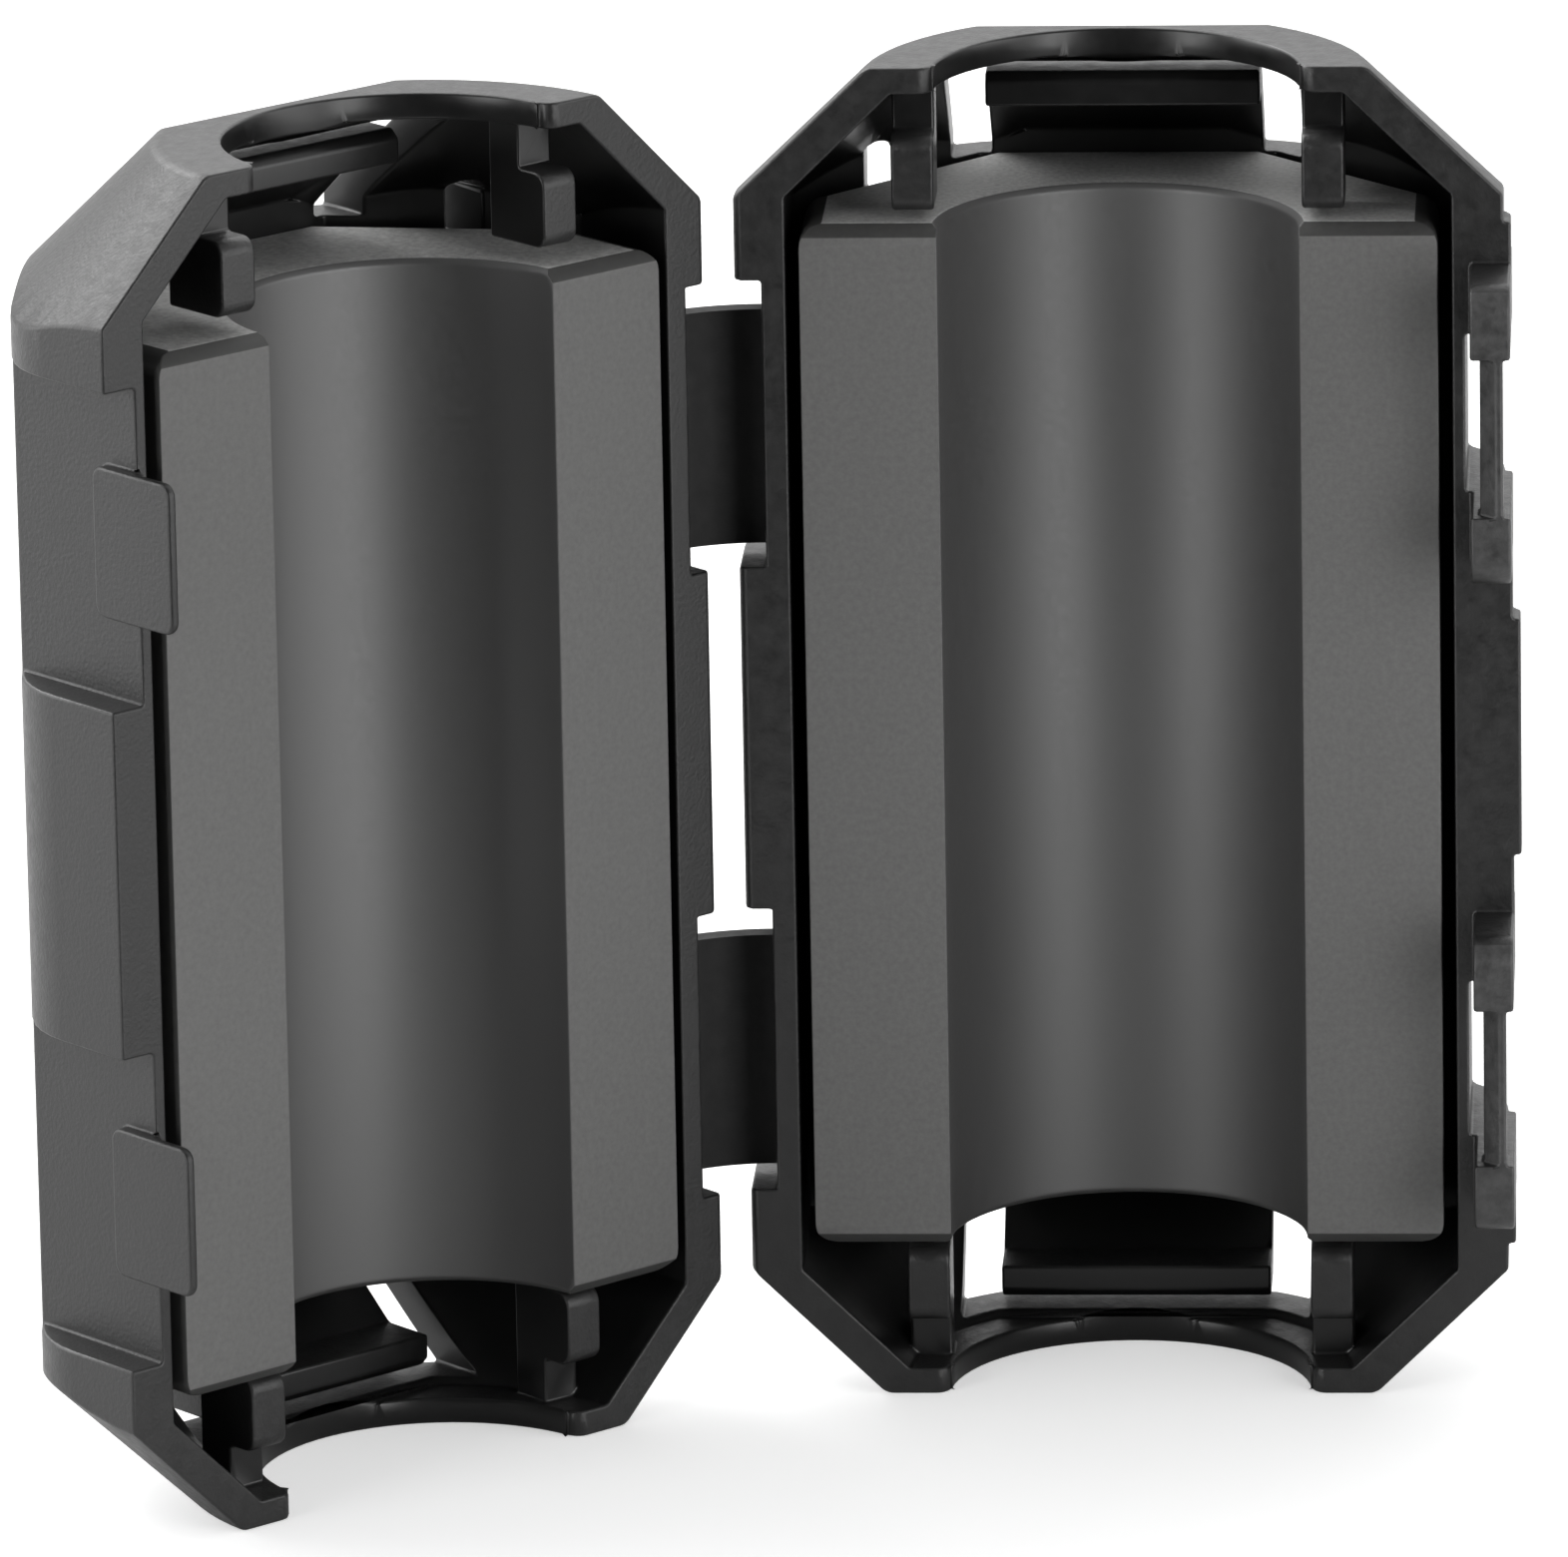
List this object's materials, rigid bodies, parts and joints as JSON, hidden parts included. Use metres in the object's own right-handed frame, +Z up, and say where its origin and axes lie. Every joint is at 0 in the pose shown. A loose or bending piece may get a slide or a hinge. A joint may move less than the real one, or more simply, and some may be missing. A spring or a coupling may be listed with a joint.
{
  "type": "clip-on ferrite bead",
  "caption": "Open clip-on ferrite bead: a black nylon case of hinged half shells with latch loops, each holding half of an octagonal ferrite core with a half-round cable groove.",
  "frame": {"origin": "on the cable axis of the right half core, at the middle of its bore", "axes": "+Z up along the cable, +X from the hinge side to the latch side of the right half, -Y out of its closing face"},
  "size_m": [0.0382, 0.0245, 0.036],
  "materials": {
    "case_nylon": "black moulded nylon, fine matte texture",
    "core_ferrite": "ground grey sintered ferrite"
  },
  "bodies": {
    "right_half": {"right_shell": "case_nylon", "right_core": "core_ferrite"},
    "hinge_straps": {"upper_hinge_strap": "case_nylon", "lower_hinge_strap": "case_nylon"},
    "left_half": {"left_shell": "case_nylon", "left_core": "core_ferrite"}
  },
  "joints": [
    {"name": "strap_fold", "type": "hinge", "parent": "right_half", "child": "hinge_straps", "pos_m": [-0.0093, 0.00155, 0], "axis": [0, 0, 1], "range_deg": [-22, 68]},
    {"name": "left_fold", "type": "hinge", "parent": "hinge_straps", "child": "left_half", "pos_m": [-0.01217, 0.00039, 0], "axis": [0, 0, 1], "range_deg": [-22, 68]}
  ],
  "couplings": [
    {"joint": "left_fold", "follows": "strap_fold", "ratio": 1}
  ]
}
